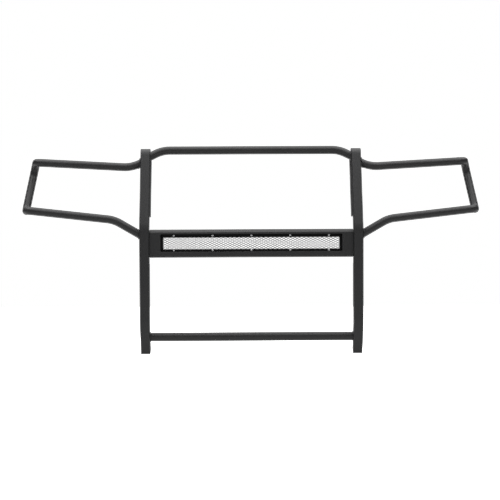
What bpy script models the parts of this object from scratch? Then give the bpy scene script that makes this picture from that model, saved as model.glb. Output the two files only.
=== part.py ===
"""A truck's front grille guard: two uprights, two cross tubes, two brush guards and a light housing.

Metres, +Z up, the front faces -Y. The origin is at the bottom centre of the guard's box.
In the pieces' own space, Y is the set-back behind the foremost line of the uprights.
"""

from math import atan2, cos, pi, radians, sin, tan

import bmesh
import bpy
from mathutils import Matrix, Vector

# Fits
gap = 0.0003  # between pieces that touch
hole_clearance = 0.0008  # round a bolt or screw, on the radius to a hole's corners
hole_sides = 8
weld_distance = 0.00001  # points of one mesh this near each other are one point

# Uprights: rectangular tube, bent twice in side view
inner_half_width = 0.445  # from the middle to each upright's inner side
upright_width = 0.039
upright_depth = 0.050
upright_wall = 0.003
upright_corner = 0.006
upright_height = 0.906  # to the sharp front edge of the top cap, before it is rounded
lower_bend_height = 0.1302 * upright_height
upper_bend_height = 0.606 * upright_height
lower_lean = radians(-29.2)  # the foot is set back
middle_lean = radians(-2.7)
upper_lean = radians(19.6)  # the top is set back
lower_bend_radius = 0.130
upper_bend_radius = 0.100
upright_bend_steps = 4

# Caps of the uprights
top_cap_height = 0.013
top_cap_round = 0.011
bottom_cap_height = 0.009
bottom_cap_round = 0.0065
spigot_length = 0.007

# Round tubes
tube_radius = 0.0165
tube_wall = 0.002
tube_sides = 12
tube_rear_margin = 0.0015  # from a tube to the plane of an upright's back
tube_back = upright_depth - tube_radius - tube_rear_margin  # from an upright's front face to a tube's centre

# Top cross tube: a flat middle and two legs that slope down to the uprights
top_tube_drop = 0.009  # its middle, below the uprights' top edge
top_tube_leg = 0.054  # the legs' run across
top_tube_slope = radians(26.6)
top_tube_bend = 0.130
top_tube_bend_steps = 4

bottom_tube_height = 0.0833 * upright_height

# Brush guards: corners of the right one from the upper joint to the lower, each as the distance outside the
# upright, the set-back and the height. The first and last lie in the plane of the upright's tubes.
upper_leg_corner = (0.041, upright_height - 0.085)
upper_leg_slope = radians(26.6)
upper_outer_corner = (0.470, 0.190, 0.936 * upright_height)
rear_upper_corner = (0.4865, 0.305, 0.936 * upright_height)
rear_lower_corner = (0.5145, 0.175, 0.6976 * upright_height)
lower_outer_corner = (0.498, 0.090, 0.6976 * upright_height)
lower_leg_corner = (0.113, 0.649 * upright_height)
lower_leg_slope = radians(30)
leg_bend = 0.130
leg_bend_steps = 3
loop_bend = 0.045
loop_bend_steps = (4, 5, 5, 4)

# End flanges of the brush guards
flange_thickness = 0.004
flange_margin_height = 0.004  # round the tube, above and below
flange_margin_depth = 0.0005  # and in front and behind
flange_corner = 0.004

# Straps behind the tube joints
strap_thickness = 0.006
strap_height = 0.024
strap_reach = 0.032  # past the side of an upright
strap_edge = 0.005  # short of an upright's other side, where only one side carries a tube
strap_corner = 0.005
strap_gap = 0.0006
strap_raise = 0.6  # of its set-back from the tube: keeps a strap out of sight behind its tube
strap_bolt_pitch = 0.4615 * upright_width

# Rear plates behind the upper part of each upright
rear_plate_thickness = 0.005
rear_plate_depth = 0.084
rear_plate_bottom = 0.6645 * upright_height
rear_plate_top = 0.9404 * upright_height
rear_plate_notch = 0.034  # clears the upper strap
rear_plate_clearance = 0.003  # behind the strap's bolt heads
rear_plate_hole_radius = 0.0055
rear_plate_hole_shares = (0.2, 0.8)  # of its height
rear_plate_corner = 0.004

# Light housing
housing_back = 0.015  # its front, behind the foremost line of the uprights
housing_depth = 0.075
housing_height = 0.120
housing_middle = 0.5342 * upright_height
housing_sheet = 0.0025
top_chamfer = 0.0118
bottom_chamfer = 0.004
end_plate_thickness = 0.003
end_plate_inset = 0.0010

# Window, mesh frame, mesh panel
window_margin_side = 0.050  # from an upright to the window
window_margin_height = 0.022  # from the housing's top or bottom, before the window is raised
window_raise = 0.0025
window_width = 2 * (inner_half_width - window_margin_side)
window_height = housing_height - 2 * window_margin_height
window_middle = housing_middle + window_raise
window_corner = 0.004
recess_depth = 0.0145
mesh_frame_side = 0.012  # the border's breadth at each end
mesh_frame_edge = 0.011  # and above and below
mesh_opening_width = window_width - 2 * mesh_frame_side
mesh_opening_height = window_height - 2 * mesh_frame_edge
mesh_frame_thickness = 0.002
mesh_thickness = 0.0015
mesh_pitch_x = 0.039
mesh_pitch_z = 0.0195
mesh_open_share = 0.89  # of each pitch, across an opening

# Screws of the mesh frame
screw_columns = 5
screw_end_margin = 0.0576  # from a window's end to the nearest screws
screw_edge_margin = 0.0053  # from its upper and lower edge
screw_pitch = (window_width - 2 * screw_end_margin) / (screw_columns - 1)
screw_row_half = window_height / 2 - screw_edge_margin
screw_radius = 0.002
screw_head_radius = 0.0042
screw_flat_radius = 0.0026
screw_head_height = 0.0022
screw_rim_height = 0.0007
screw_length = 0.012

# Frame brackets
bracket_sheet = 0.006
bracket_middle = 0.3311 * upright_height  # height of its centre
bracket_flange_length = 0.200
bracket_web_height = 0.120
bracket_behind = 0.220  # its reach past the depth of the uprights
bracket_slot_length = 0.034
bracket_slot_radius = 0.0065
bracket_slot_pitch = 0.070
bracket_slot_edge = 0.020

# Bolts: (shank radius, width across the flats, head height, length under the head)
strap_bolt = (0.004, 0.013, 0.0053, 0.017)
housing_bolt = (0.004, 0.013, 0.0053, 0.013)
bracket_bolt = (0.006, 0.018, 0.0075, 0.020)
housing_bolt_pitch = 0.058
housing_bolt_set_back = 0.012  # behind the housing's front

tube_smooth_angle = radians(40)
bolt_smooth_angle = radians(35)

# Colour, roughness and metallic value of each finish
powder_black = ((0.050, 0.050, 0.052, 1), 0.5, 0.0)
mesh_black = ((0.012, 0.012, 0.013, 1), 0.6, 0.0)
zinc = ((0.42, 0.42, 0.43, 1), 0.38, 1.0)
stainless = ((0.62, 0.62, 0.62, 1), 0.25, 1.0)

upright_middle_x = inner_half_width + upright_width / 2
outer_half_width = inner_half_width + upright_width


# The uprights in side view

def lean_at(height):
    """The lean of an upright's straight length at a height."""
    if height > upper_bend_height:
        return upper_lean
    return middle_lean if height > lower_bend_height else lower_lean


def front_at(height):
    """The set-back of an upright's front face at a height, with its bends left sharp."""
    if height > upper_bend_height:
        return (height - upper_bend_height) * tan(upper_lean)
    middle = (max(height, lower_bend_height) - upper_bend_height) * tan(middle_lean)
    return middle + min(height - lower_bend_height, 0) * tan(lower_lean)


def behind_front(x, height, back):
    """The point at a height that lies square behind an upright's front face."""
    return Vector((x, front_at(height) + back / cos(lean_at(height)), height))


def along(lean):
    return Vector((0, sin(lean), cos(lean)))


def square_to(lean):
    return Vector((0, cos(lean), -sin(lean)))


def at_face(point, lean, turn=0.0):
    """A place in the plane of an upright's face: local X across it, Y up it, Z to the front."""
    axes = Matrix((Vector((1, 0, 0)), along(lean), -square_to(lean))).transposed().to_4x4()
    return Matrix.Translation(point) @ axes @ Matrix.Rotation(turn, 4, "Z")


# Objects and materials

def paint(piece, finish):
    colour, roughness, metallic = finish
    material = bpy.data.materials.new(piece.name)
    material.use_nodes = True
    shader = material.node_tree.nodes["Principled BSDF"]
    shader.inputs["Base Color"].default_value = colour
    shader.inputs["Roughness"].default_value = roughness
    shader.inputs["Metallic"].default_value = metallic
    piece.data.materials.clear()
    piece.data.materials.append(material)


def add_piece(name, data, finish, place=None):
    piece = bpy.data.objects.new(name, data)
    parts.objects.link(piece)
    piece.parent = root
    piece.matrix_local = place or Matrix()
    paint(piece, finish)
    return piece


def add_cutter(name, data, place=None):
    cutter = bpy.data.objects.new(name, data)
    cutters.objects.link(cutter)
    cutter.parent = root
    cutter.matrix_local = place or Matrix()
    cutter.hide_render = True
    cutter.display_type = "WIRE"
    return cutter


def combine(piece, other, operation):
    modifier = piece.modifiers.new(other.name, "BOOLEAN")
    modifier.operation = operation
    modifier.object = other


def mesh_from(shape, name, smooth_angle=None):
    mesh = bpy.data.meshes.new(name)
    shape.to_mesh(mesh)
    shape.free()
    if smooth_angle:
        mesh.shade_smooth()
        mesh.set_sharp_from_angle(angle=smooth_angle)
    return mesh


# Swept tubes

def round_section(radius):
    return lambda inset: circle(0, 0, radius - inset, tube_sides)


def box_section(width, depth, corner):
    return lambda inset: rounded(rectangle(width - 2 * inset, depth - 2 * inset), corner - inset)


def ring_of_edges(shape, outline, place):
    verts = [shape.verts.new(place @ Vector((x, y, 0))) for x, y in outline]
    return [shape.edges.new(pair) for pair in zip(verts, verts[1:] + verts[:1])]


def push(shape, edges, step):
    made = bmesh.ops.extrude_edge_only(shape, edges=edges)["geom"]
    verts = [each for each in made if isinstance(each, bmesh.types.BMVert)]
    bmesh.ops.translate(shape, verts=verts, vec=step)
    return [each for each in made if isinstance(each, bmesh.types.BMEdge) and each.is_boundary]


def sweep(shape, ring, points, bends):
    """Carries a ring along straight runs and round bends of (radius, steps), and gives its last edges."""
    here = points[0]
    for corner, after, (radius, steps) in zip(points[1:], points[2:], bends):
        ahead = (corner - here).normalized()
        beyond = (after - corner).normalized()
        turn = ahead.angle(beyond)
        start = corner - ahead * radius * tan(turn / 2)
        axis = ahead.cross(beyond).normalized()
        ring = push(shape, ring, start - here)
        made = bmesh.ops.spin(shape, geom=ring, cent=start + axis.cross(ahead) * radius, axis=axis,
                              angle=turn, steps=steps)["geom_last"]
        ring = [each for each in made if isinstance(each, bmesh.types.BMEdge)]
        here = corner + beyond * radius * tan(turn / 2)
    return push(shape, ring, points[-1] - here)


def cut_upright(ring, direction, x):
    """Slides a tube's end along the tube until it is flat at x."""
    for vert in {vert for edge in ring for vert in edge.verts}:
        vert.co += direction * ((x - vert.co.x) / direction.x)


def hollow_bar(name, section, wall, points, bends, finish, ends_x=None):
    """A hollow bar along its corner points, with open ends: square, or flat at the two ends_x."""
    shape = bmesh.new()
    ahead = points[1] - points[0]
    place = Matrix.Translation(points[0]) @ ahead.to_track_quat("Z", "Y").to_matrix().to_4x4()
    ends = []
    for inset in (0, wall):
        first = ring_of_edges(shape, section(inset), place)
        last = sweep(shape, first, points, bends)
        if ends_x:
            cut_upright(first, ahead, ends_x[0])
            cut_upright(last, points[-1] - points[-2], ends_x[1])
        ends.append((first, last))
    for outer, inner in zip(*ends):
        bmesh.ops.triangle_fill(shape, use_beauty=True, edges=outer + inner)
    bmesh.ops.recalc_face_normals(shape, faces=shape.faces)
    return add_piece(name, mesh_from(shape, name, tube_smooth_angle), finish)


# Flat plates

def circle(x, y, radius, sides=hole_sides):
    return [(x + radius * cos(turn), y + radius * sin(turn))
            for turn in (2 * pi * step / sides for step in range(sides))]


def rounded(outline, radius, steps=2):
    """An outline with its corners rounded, each by an arc."""
    points = []
    for before, corner, after in zip([outline[-1], *outline], outline, [*outline[1:], outline[0]]):
        corner = Vector(corner)
        back = (Vector(before) - corner).normalized()
        ahead = (Vector(after) - corner).normalized()
        half = back.angle(ahead) / 2
        centre = corner + (back + ahead).normalized() * radius / sin(half)
        start = corner + back * radius / tan(half) - centre
        end = corner + ahead * radius / tan(half) - centre
        sweep_angle = start.angle_signed(end)
        for step in range(steps + 1):
            turned = start.copy()
            turned.rotate(Matrix.Rotation(-sweep_angle * step / steps, 2))
            points.append(tuple(centre + turned))
    return points


def rectangle(width, height, x=0.0, y=0.0):
    return [(x + sx * width / 2, y + sy * height / 2) for sx, sy in ((-1, -1), (1, -1), (1, 1), (-1, 1))]


def slot(x, y, length, radius, steps=4):
    reach = length / 2 - radius
    ends = ((reach, -pi / 2), (-reach, pi / 2))
    return [(x + shift + radius * cos(start + pi * step / steps), y + radius * sin(start + pi * step / steps))
            for shift, start in ends for step in range(steps + 1)]


def flat_curve(name, outlines, thickness):
    """A plate centred on its own XY plane. Outlines inside the first are holes."""
    curve = bpy.data.curves.new(name, "CURVE")
    curve.dimensions = "2D"
    curve.fill_mode = "BOTH"
    curve.extrude = thickness / 2
    for outline in outlines:
        spline = curve.splines.new("POLY")
        spline.points.add(len(outline) - 1)
        for point, (x, y) in zip(spline.points, outline):
            point.co = (x, y, 0, 1)
        spline.use_cyclic_u = True
    return curve


def add_plate(name, outlines, thickness, finish, place):
    return add_piece(name, flat_curve(name, outlines, thickness), finish, place)


def plate_mesh(name, outlines, thickness, place):
    """The same plate as a welded mesh, which Booleans can use."""
    guide = bpy.data.objects.new(name + "_outline", flat_curve(name, outlines, thickness))
    parts.objects.link(guide)
    mesh = bpy.data.meshes.new_from_object(guide.evaluated_get(bpy.context.evaluated_depsgraph_get()))
    bpy.data.objects.remove(guide)
    shape = bmesh.new()
    shape.from_mesh(mesh)
    bmesh.ops.remove_doubles(shape, verts=shape.verts, dist=weld_distance)
    bmesh.ops.recalc_face_normals(shape, faces=shape.faces)
    shape.transform(place)
    shape.to_mesh(mesh)
    shape.free()
    return mesh


# Bolts, screws and their holes

def turned(profile, sides):
    """A closed turned shape about Z from (radius, height) points that start and end on the axis."""
    shape = bmesh.new()
    line = [shape.verts.new((radius, 0, height)) for radius, height in profile]
    edges = [shape.edges.new(pair) for pair in zip(line, line[1:])]
    bmesh.ops.spin(shape, geom=line + edges, cent=(0, 0, 0), axis=(0, 0, 1), angle=2 * pi, steps=sides,
                   use_merge=True)
    bmesh.ops.remove_doubles(shape, verts=shape.verts, dist=weld_distance)
    bmesh.ops.recalc_face_normals(shape, faces=shape.faces)
    return shape


def bolt_mesh(name, size):
    """A hexagon bolt: the head's seat at Z = 0, its shank towards +Z."""
    shank, across, head, length = size
    corner = across / 2 / cos(pi / 6)
    shape = turned([(0, -head), (corner, -head), (corner, 0), (shank, 0), (shank, length), (0, length)], 12)
    for vert in shape.verts:
        turn = round(atan2(vert.co.y, vert.co.x) / (pi / 6))
        if vert.co.xy.length > across / 2 and turn % 2 == 0:
            vert.co.xy *= cos(pi / 6)
    return mesh_from(shape, name, bolt_smooth_angle)


def screw_mesh():
    """A button-head screw: the head's seat at Z = 0, its shank towards +Z."""
    head = [(0, -screw_head_height), (screw_flat_radius, -screw_head_height),
            (screw_head_radius, -screw_rim_height), (screw_head_radius, 0)]
    shank = [(screw_radius, 0), (screw_radius, screw_length), (0, screw_length)]
    return mesh_from(turned(head + shank, hole_sides), "mesh_screw", bolt_smooth_angle)


def drill(piece, places, radius, length):
    """Cuts round holes of a length centred on each place, along its local Z."""
    shape = bmesh.new()
    for place in places:
        bmesh.ops.create_cone(shape, cap_ends=True, segments=hole_sides, radius1=radius, radius2=radius,
                              depth=length, matrix=place)
    combine(piece, add_cutter(piece.name + f"_holes_{len(piece.modifiers)}",
                              mesh_from(shape, piece.name + "_holes")), "DIFFERENCE")


def shifted(place, x=0.0, y=0.0, z=0.0):
    return place @ Matrix.Translation((x, y, z))


# The sub-parts

def make_upright(side, name):
    def centre(height, turn_between):
        """A corner of the tube's centre line, behind the matching corner of its front face."""
        lean_below, lean_above = turn_between
        middle = (lean_below + lean_above) / 2
        reach = upright_depth / 2 / cos((lean_above - lean_below) / 2)
        return Vector((0, front_at(height), height)) + square_to(middle) * reach

    floor = -bottom_cap_round * (cos(lower_lean) - sin(lower_lean) - 1)
    foot = Vector((0, front_at(floor), floor)) + square_to(lower_lean) * upright_depth / 2
    head = Vector((0, front_at(upright_height), upright_height)) + square_to(upper_lean) * upright_depth / 2
    points = [
        foot + along(lower_lean) * (bottom_cap_height + gap),
        centre(lower_bend_height, (lower_lean, middle_lean)),
        centre(upper_bend_height, (middle_lean, upper_lean)),
        head - along(upper_lean) * (top_cap_height + gap),
    ]
    bends = [(lower_bend_radius, upright_bend_steps), (upper_bend_radius, upright_bend_steps)]
    shift = Vector((side * upright_middle_x, 0, 0))
    points = [point + shift for point in points]
    section = box_section(upright_width, upright_depth, upright_corner)
    upright = hollow_bar(name, section, upright_wall, points, bends, powder_black)
    return upright, foot + shift, head + shift


def make_cap(name, place, height, round_over):
    """A cap with its top at Z = 0, rounded front and back, and a spigot that fits inside the tube."""
    shape = bmesh.new()
    size = Matrix.Diagonal((upright_width, upright_depth, height, 1))
    bmesh.ops.create_cube(shape, size=1, matrix=Matrix.Translation((0, 0, -height / 2)) @ size)
    across = [edge for edge in shape.edges if abs((edge.verts[0].co - edge.verts[1].co).x) > gap
              and edge.verts[0].co.z > -gap]
    bmesh.ops.bevel(shape, geom=across, offset=round_over, segments=3, profile=0.5, affect="EDGES")
    sides = [edge for edge in shape.edges
             if abs(edge.verts[0].co.x - edge.verts[1].co.x) < gap
             and not all(vert.co.z < gap - height for vert in edge.verts)]
    bmesh.ops.bevel(shape, geom=sides, offset=upright_corner, segments=2, profile=0.5, affect="EDGES")
    base = min(shape.faces, key=lambda face: face.calc_center_median().z)
    inset = upright_wall + gap
    bmesh.ops.inset_region(shape, faces=[base], thickness=inset, use_even_offset=True)
    made = bmesh.ops.extrude_face_region(shape, geom=[base])["geom"]
    bmesh.ops.translate(shape, verts=[each for each in made if isinstance(each, bmesh.types.BMVert)],
                        vec=(0, 0, -spigot_length))
    bmesh.ops.delete(shape, geom=[base], context="FACES_ONLY")
    bmesh.ops.recalc_face_normals(shape, faces=shape.faces)
    add_piece(name, mesh_from(shape, name, bolt_smooth_angle), powder_black, place)


def make_strap(name, place, low, high):
    """A strap across an upright's back, from low to high of its middle, with its two bolts."""
    outline = rounded(rectangle(high - low, strap_height, (low + high) / 2), strap_corner)
    spots = [-strap_bolt_pitch / 2, strap_bolt_pitch / 2]
    radius = strap_bolt[0] + hole_clearance
    holes = [circle(spot, 0, radius) for spot in spots]
    add_plate(name, [outline, *holes], strap_thickness, powder_black, place)
    back = -strap_thickness / 2 - gap
    for number, spot in enumerate(spots, 1):
        add_piece(f"{name}_bolt_{number}", bolt_mesh(name + "_bolt", strap_bolt), zinc,
                  shifted(place, spot, 0, back))
    depth = strap_thickness / 2 + strap_gap + upright_wall / 2
    return [shifted(place, spot, 0, depth) for spot in spots]


def strap_place(x, height, turn):
    lean = lean_at(height)
    back = upright_depth + strap_gap + strap_thickness / 2 - tube_back
    shift = square_to(lean) * back + along(lean) * back * sin(lean) * strap_raise
    return at_face(behind_front(x, height, tube_back) + shift, lean, turn)


def top_tube_points():
    """The top cross tube lies in the plane of the uprights' upper lengths."""
    end_height = upright_height - top_tube_drop - top_tube_leg * tan(top_tube_slope)
    right = [behind_front(inner_half_width - top_tube_leg, upright_height - top_tube_drop, tube_back),
             behind_front(inner_half_width, end_height, tube_back)]
    left = [Vector((-point.x, point.y, point.z)) for point in reversed(right)]
    return left + right


def brush_guard_points():
    """Corner points of the right brush guard, from its upper joint to its lower one."""
    joint_x = outer_half_width + 2 * gap + flange_thickness
    outside, height = upper_leg_corner
    x = outer_half_width + outside
    upper_corner = behind_front(x, height, tube_back)
    upper_joint = behind_front(joint_x, height + (x - joint_x) * tan(upper_leg_slope), tube_back)
    outside, height = lower_leg_corner
    x = outer_half_width + outside
    fall = (x - joint_x) * tan(lower_leg_slope)
    lower_joint = behind_front(joint_x, height - fall, tube_back)
    lower_corner = lower_joint + Vector((x - joint_x, fall * tan(middle_lean), fall))
    loop = [Vector((outer_half_width + outside, back, height)) for outside, back, height
            in (upper_outer_corner, rear_upper_corner, rear_lower_corner, lower_outer_corner)]
    return [upper_joint, upper_corner, *loop, lower_corner, lower_joint]


def make_brush_guard(side, name, points):
    """One bent tube. Returns the set-back of its rearmost point."""
    points = [Vector((side * point.x, point.y, point.z)) for point in points]
    leg = (leg_bend, leg_bend_steps)
    bends = [leg, *((loop_bend, steps) for steps in loop_bend_steps), leg]
    ends_x = (points[0].x, points[0].x)
    guard = hollow_bar(name, round_section(tube_radius), tube_wall, points, bends, powder_black, ends_x)
    return max(vert.co.y for vert in guard.data.vertices)


def make_flange(side, name, joint):
    """A thin plate between a brush guard's end and the side of an upright."""
    lean = lean_at(joint.z)
    middle_x = side * (outer_half_width + gap + flange_thickness / 2)
    centre = Vector((middle_x, joint.y, joint.z))
    place = at_face(centre, lean) @ Matrix.Rotation(pi / 2, 4, "Y")
    size = (2 * (tube_radius + flange_margin_depth), 2 * (tube_radius + flange_margin_height))
    add_plate(name, [rounded(rectangle(*size), flange_corner)], flange_thickness, powder_black, place)


def make_rear_plate(side, name):
    """A plate flush with an upright's inner side, level at both ends, notched for the upper strap."""
    centre = Vector((side * (inner_half_width + rear_plate_thickness / 2), 0, upper_bend_height))
    place = at_face(centre, upper_lean) @ Matrix.Rotation(-pi / 2, 4, "Y")
    near = upright_depth + gap
    notch = near + strap_gap + strap_thickness + strap_bolt[2] + rear_plate_clearance
    far = upright_depth + rear_plate_depth

    def up(height, back):
        """The length along the upright at which a point that far behind its front reaches a height."""
        return (height - upper_bend_height + back * sin(upper_lean)) / cos(upper_lean)

    notch_height = rear_plate_top - rear_plate_notch
    outline = [(-near, up(rear_plate_bottom, near)), (-near, up(notch_height, near)),
               (-notch, up(notch_height, notch)), (-notch, up(rear_plate_top, notch)),
               (-far, up(rear_plate_top, far)), (-far, up(rear_plate_bottom, far))]
    middle = (notch + far) / 2
    tall = rear_plate_top - rear_plate_bottom
    heights = [rear_plate_bottom + share * tall for share in rear_plate_hole_shares]
    holes = [circle(-middle, up(height, middle), rear_plate_hole_radius) for height in heights]
    add_plate(name, [rounded(outline, rear_plate_corner), *holes], rear_plate_thickness, powder_black, place)


def housing_section(inset):
    """Cross-section of the light housing, as (set-back, height) from the lower rear edge to the upper one."""
    front, back = housing_back + inset, housing_back + housing_depth - inset
    half = housing_height / 2 - inset
    low, high = housing_middle - half, housing_middle + half
    return [(back, low), (front + bottom_chamfer, low), (front, low + bottom_chamfer),
            (front, high - top_chamfer), (front + top_chamfer, high), (back, high)]


def make_box_mesh(name, low, high):
    shape = bmesh.new()
    low, high = Vector(low), Vector(high)
    size = Matrix.Diagonal((*(high - low), 1))
    bmesh.ops.create_cube(shape, size=1, matrix=Matrix.Translation((low + high) / 2) @ size)
    return mesh_from(shape, name)


def window_box(name, width, height, front, back):
    low = (-width / 2, front, window_middle - height / 2)
    high = (width / 2, back, window_middle + height / 2)
    return add_cutter(name, make_box_mesh(name, low, high))


def screw_spots():
    """The screws as (x, height above the window's middle)."""
    return [((column - (screw_columns - 1) / 2) * screw_pitch, row)
            for row in (screw_row_half, -screw_row_half) for column in range(screw_columns)]


def screw_places(back):
    """The screws' places at a set-back, each with its local Z to the rear."""
    return [Matrix.Translation((x, back, window_middle + row)) @ Matrix.Rotation(-pi / 2, 4, "X")
            for x, row in screw_spots()]


def make_housing():
    """A folded sheet, open behind, with a tray behind its window: the mesh is screwed to the tray's ledge."""
    half = inner_half_width - 2 * gap - end_plate_thickness
    shape = bmesh.new()
    fold = [shape.verts.new((-half, back, height)) for back, height in housing_section(0)]
    edges = [shape.edges.new(pair) for pair in zip(fold, fold[1:])]
    push(shape, edges, (2 * half, 0, 0))
    bmesh.ops.recalc_face_normals(shape, faces=shape.faces)
    housing = add_piece("light_housing", mesh_from(shape, "light_housing"), powder_black)
    sheet = housing.modifiers.new("sheet", "SOLIDIFY")
    sheet.thickness = housing_sheet
    sheet.offset = -1
    sheet.use_even_offset = True
    front, ledge = housing_back, housing_back + recess_depth
    wall = 2 * housing_sheet
    tray = window_box("tray", window_width + wall, window_height + wall, front + housing_sheet / 2,
                      ledge + housing_sheet)
    combine(housing, tray, "UNION")
    combine(housing, window_box("recess", window_width, window_height, 0, ledge), "DIFFERENCE")
    combine(housing, window_box("sight_opening", mesh_opening_width, mesh_opening_height, 0, 2 * ledge),
            "DIFFERENCE")
    drill(housing, screw_places(ledge + housing_sheet / 2), screw_radius + hole_clearance, 3 * housing_sheet)


def make_housing_end(side, name, upright):
    """An end plate, bolted to the upright from inside the housing."""
    half = inner_half_width - gap - end_plate_thickness / 2
    place = Matrix(((0, 0, 1, side * half), (1, 0, 0, 0), (0, 1, 0, 0), (0, 0, 0, 1)))
    bolt_back = housing_back + housing_bolt_set_back
    spots = [(bolt_back, housing_middle + share * housing_bolt_pitch) for share in (-0.5, 0.5)]
    radius = housing_bolt[0] + hole_clearance
    holes = [circle(*spot, radius) for spot in spots]
    add_plate(name, [housing_section(end_plate_inset), *holes], end_plate_thickness, powder_black, place)
    seat = side * (inner_half_width - 2 * gap - end_plate_thickness)
    outward = Matrix.Rotation(side * pi / 2, 4, "Y")
    wall_middle = side * (inner_half_width + upright_wall / 2)
    for number, (back, height) in enumerate(spots, 1):
        add_piece(f"{name}_bolt_{number}", bolt_mesh("housing_bolt", housing_bolt), zinc,
                  Matrix.Translation((seat, back, height)) @ outward)
    drill(upright, [Matrix.Translation((wall_middle, *spot)) @ outward for spot in spots], radius,
          3 * upright_wall)


def make_mesh_window():
    """The mesh panel on the tray's ledge, the frame in front of it, and the screws through both."""
    upright_plane = Matrix.Rotation(pi / 2, 4, "X")
    ledge = housing_back + recess_depth
    fit = 2 * gap
    outer = rounded(rectangle(window_width - fit, window_height - fit), window_corner)
    holes = [circle(x, row, screw_radius + hole_clearance) for x, row in screw_spots()]

    half_x, half_z = mesh_pitch_x / 2 * mesh_open_share, mesh_pitch_z / 2 * mesh_open_share
    rows = int(mesh_opening_height / mesh_pitch_z)
    diamonds = []
    for row in range(-rows, rows + 1):
        offset = row % 2 / 2
        count = int((mesh_opening_width / 2 - half_x) / mesh_pitch_x + offset)
        for column in range(-count, count + 1 - row % 2):
            x, z = (column + offset) * mesh_pitch_x, row * mesh_pitch_z / 2
            diamonds.append([(x - half_x, z), (x, z - half_z), (x + half_x, z), (x, z + half_z)])
    panel_back = ledge - gap - mesh_thickness / 2
    add_plate("mesh_panel", [outer, *holes, *diamonds], mesh_thickness, mesh_black,
              Matrix.Translation((0, panel_back, window_middle)) @ upright_plane)

    opening = rounded(rectangle(mesh_opening_width, mesh_opening_height), window_corner)
    frame_back = ledge - 2 * gap - mesh_thickness - mesh_frame_thickness / 2
    add_plate("mesh_frame", [outer, opening, *holes], mesh_frame_thickness, mesh_black,
              Matrix.Translation((0, frame_back, window_middle)) @ upright_plane)
    seat = frame_back - mesh_frame_thickness / 2 - gap
    screw = screw_mesh()
    for number, place in enumerate(screw_places(seat), 1):
        add_piece(f"mesh_screw_{number:02}", screw.copy(), stainless, place)


def make_bracket(side, name, upright):
    """A T-shaped bracket: its flange is bolted to the upright's back, its web is slotted for the frame."""
    lean = middle_lean
    seat = behind_front(side * upright_middle_x, bracket_middle, upright_depth + gap + bracket_sheet / 2)
    place = at_face(seat, lean)
    spot = (bracket_flange_length + bracket_web_height) / 4
    spots = [-spot, spot]
    radius = bracket_bolt[0] + hole_clearance
    flange = [rounded(rectangle(upright_width, bracket_flange_length), upright_corner)]
    flange += [circle(0, spot, radius) for spot in spots]
    bracket = add_piece(name, plate_mesh(name, flange, bracket_sheet, place), powder_black)

    near, far = seat.y - bracket_sheet / 4, upright_depth + bracket_behind
    low, high = bracket_middle - bracket_web_height / 2, bracket_middle + bracket_web_height / 2
    edge = bracket_web_height / 2 * tan(-lean)
    web = [(near - edge, high), (near + edge, low), (far, low), (far, high)]
    slot_x = far - bracket_slot_length / 2 - bracket_slot_edge
    slots = [slot(slot_x, bracket_middle + shift, bracket_slot_length, bracket_slot_radius)
             for shift in (-bracket_slot_pitch / 2, bracket_slot_pitch / 2)]
    sideways = Matrix(((0, 0, 1, side * upright_middle_x), (1, 0, 0, 0), (0, 1, 0, 0), (0, 0, 0, 1)))
    web_mesh = plate_mesh(name + "_web", [web, *slots], bracket_sheet, sideways)
    combine(bracket, add_cutter(name + "_web", web_mesh), "UNION")
    for number, spot in enumerate(spots, 1):
        add_piece(f"{name}_bolt_{number}", bolt_mesh("bracket_bolt", bracket_bolt), zinc,
                  shifted(place, 0, spot, -bracket_sheet / 2 - gap))
    depth = bracket_sheet / 2 + gap + upright_wall / 2
    drill(upright, [shifted(place, 0, spot, depth) for spot in spots], radius, 3 * upright_wall)


for leftover in list(bpy.data.objects):
    bpy.data.objects.remove(leftover)
parts = bpy.data.collections.new("grille_guard")
cutters = bpy.data.collections.new("cutters")
for collection in (parts, cutters):
    bpy.context.scene.collection.children.link(collection)

root = bpy.data.objects.new("grille_guard_root", None)
parts.objects.link(root)
guard_points = brush_guard_points()

cross_tube_ends = (gap - inner_half_width, inner_half_width - gap)
top_points = top_tube_points()
hollow_bar("top_cross_tube", round_section(tube_radius), tube_wall, top_points,
           [(top_tube_bend, top_tube_bend_steps)] * 2, powder_black, cross_tube_ends)
bottom_ends = [behind_front(x, bottom_tube_height, tube_back) for x in cross_tube_ends]
hollow_bar("bottom_cross_tube", round_section(tube_radius), tube_wall, bottom_ends, [], powder_black)
make_housing()
make_mesh_window()

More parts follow.
